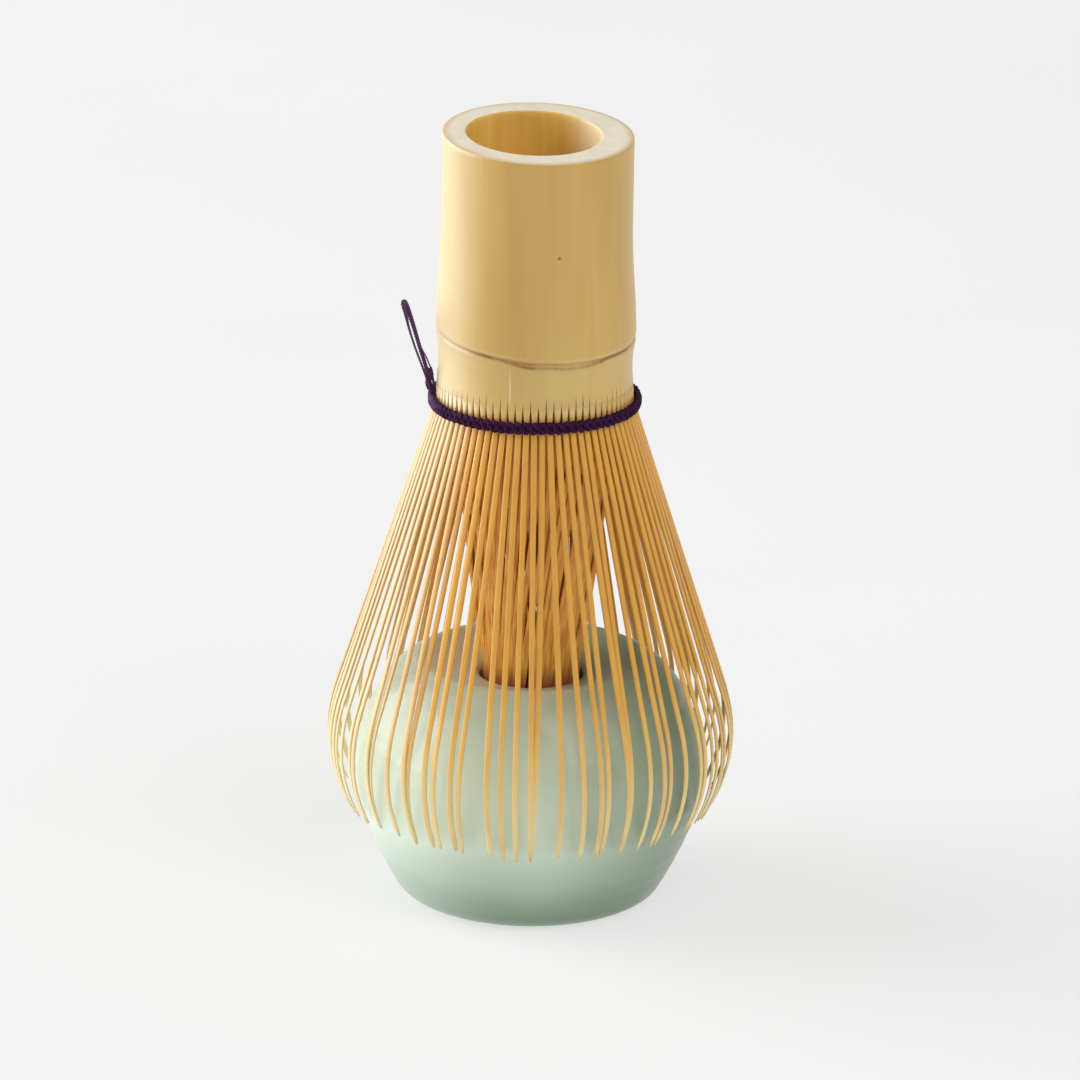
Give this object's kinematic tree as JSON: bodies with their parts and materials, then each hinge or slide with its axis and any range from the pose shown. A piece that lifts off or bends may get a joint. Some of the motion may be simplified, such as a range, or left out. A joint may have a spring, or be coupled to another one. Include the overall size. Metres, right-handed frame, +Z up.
{
  "type": "bamboo tea whisk",
  "caption": "Bamboo tea whisk with fine split tines, a thread binding and a hollow handle, standing tines down on a glazed pot-shaped whisk holder that it lifts off.",
  "frame": {"origin": "centre of the holder's foot, on the table", "axes": "+Z up along the whisk's handle; +X to the right seen from the front, so the thread's knot is on the -X side; +Y to the back"},
  "size_m": [0.0612, 0.0612, 0.1179],
  "materials": {
    "celadon_glaze": "glossy pale grey-green glaze, pooled darker at the foot, bare foot ring",
    "bamboo_culm": "smooth satin culm skin with fine lengthwise grain and a brown node line",
    "bamboo_outer_tines": "split bamboo, golden, paler and thinner at the curled tips",
    "bamboo_inner_tines": "split bamboo, deeper brown where the tines are gathered",
    "binding_thread": "dark purple twisted cotton thread"
  },
  "bodies": {
    "holder": {"whisk_holder": "celadon_glaze"},
    "whisk": {"handle": "bamboo_culm", "outer_tines_01": "bamboo_outer_tines", "outer_tines_02": "bamboo_outer_tines", "outer_tines_03": "bamboo_outer_tines", "outer_tines_04": "bamboo_outer_tines", "outer_tines_05": "bamboo_outer_tines", "outer_tines_06": "bamboo_outer_tines", "outer_tines_07": "bamboo_outer_tines", "outer_tines_08": "bamboo_outer_tines", "outer_tines_09": "bamboo_outer_tines", "outer_tines_10": "bamboo_outer_tines", "outer_tines_11": "bamboo_outer_tines", "outer_tines_12": "bamboo_outer_tines", "outer_tines_13": "bamboo_outer_tines", "outer_tines_14": "bamboo_outer_tines", "outer_tines_15": "bamboo_outer_tines", "outer_tines_16": "bamboo_outer_tines", "inner_tines_01": "bamboo_inner_tines", "inner_tines_02": "bamboo_inner_tines", "inner_tines_03": "bamboo_inner_tines", "inner_tines_04": "bamboo_inner_tines", "inner_tines_05": "bamboo_inner_tines", "inner_tines_06": "bamboo_inner_tines", "inner_tines_07": "bamboo_inner_tines", "inner_tines_08": "bamboo_inner_tines", "inner_tines_09": "bamboo_inner_tines", "inner_tines_10": "bamboo_inner_tines", "inner_tines_11": "bamboo_inner_tines", "inner_tines_12": "bamboo_inner_tines", "inner_tines_13": "bamboo_inner_tines", "inner_tines_14": "bamboo_inner_tines", "inner_tines_15": "bamboo_inner_tines", "inner_tines_16": "bamboo_inner_tines", "binding_thread_upper": "binding_thread", "binding_thread_lower": "binding_thread", "binding_thread_inner": "binding_thread", "thread_knot": "binding_thread", "thread_tail": "binding_thread"}
  },
  "joints": [
    {"name": "whisk_lift", "type": "slide", "parent": "holder", "child": "whisk", "axis": [0, 0, 1], "range_m": [0, 0.06]}
  ]
}
